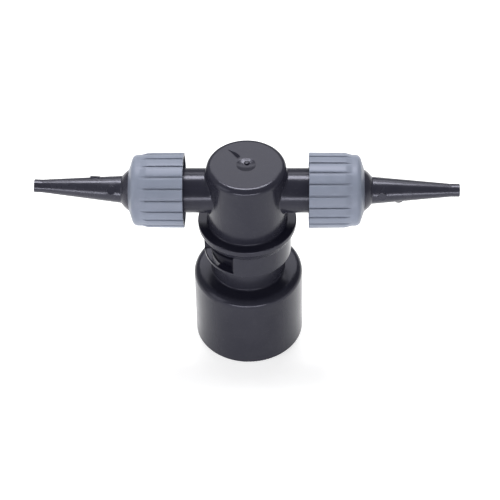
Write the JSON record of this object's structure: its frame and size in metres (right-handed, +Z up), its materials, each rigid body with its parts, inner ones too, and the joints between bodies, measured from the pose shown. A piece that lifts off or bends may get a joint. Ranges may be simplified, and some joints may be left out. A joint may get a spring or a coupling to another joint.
{
  "type": "pipe tee fitting",
  "caption": "Tee with ribbed union nuts holding smooth tapered hose tails, on a bayonet swivel neck above a push-on pipe socket.",
  "frame": {"origin": "centre of the pipe socket's mouth, on the plane it stands on", "axes": "+Z up along the socket and barrel, +X out along the right-hand spout"},
  "size_m": [0.2111, 0.0566, 0.1164],
  "materials": {
    "black_moulding": "satin",
    "grey_moulding": "satin",
    "seal_rubber": "matte"
  },
  "bodies": {
    "base": {"pipe_socket": "black_moulding", "spigot_ring": "seal_rubber"},
    "head": {"tee_body": "black_moulding"},
    "left_carrier": {"left_seal_ring": "seal_rubber"},
    "left_nut": {"left_union_nut": "grey_moulding"},
    "left_tail": {"left_hose_tail": "black_moulding"},
    "right_carrier": {"right_seal_ring": "seal_rubber"},
    "right_nut": {"right_union_nut": "grey_moulding"},
    "right_tail": {"right_hose_tail": "black_moulding"}
  },
  "joints": [
    {"name": "head_swivel", "type": "hinge", "parent": "base", "child": "head", "pos_m": [0, 0, 0.07], "axis": [0, 0, 1], "range_deg": [0, 26.5]},
    {"name": "left_nut_turn", "type": "hinge", "parent": "left_carrier", "child": "left_nut", "pos_m": [-0.045, 0, 0.0976], "axis": [-1, 0, 0], "range_deg": [0, 1980]},
    {"name": "left_union_slide", "type": "slide", "parent": "head", "child": "left_carrier", "axis": [-1, 0, 0], "range_m": [0, 0.0128]},
    {"name": "left_tail_tilt", "type": "hinge", "parent": "left_carrier", "child": "left_tail", "pos_m": [-0.05205, 0, 0.0976], "axis": [0, 1, 0], "range_deg": [-10.3, 3.7]},
    {"name": "right_nut_turn", "type": "hinge", "parent": "right_carrier", "child": "right_nut", "pos_m": [0.045, 0, 0.0976], "axis": [1, 0, 0], "range_deg": [0, 1980]},
    {"name": "right_union_slide", "type": "slide", "parent": "head", "child": "right_carrier", "axis": [1, 0, 0], "range_m": [0, 0.0128]},
    {"name": "right_tail_tilt", "type": "hinge", "parent": "right_carrier", "child": "right_tail", "pos_m": [0.05205, 0, 0.0976], "axis": [0, -1, 0], "range_deg": [-7, 7]}
  ],
  "couplings": [
    {"joint": "left_union_slide", "follows": "left_nut_turn", "m_per_rad": 0.00036749},
    {"joint": "right_union_slide", "follows": "right_nut_turn", "m_per_rad": 0.00036749}
  ]
}
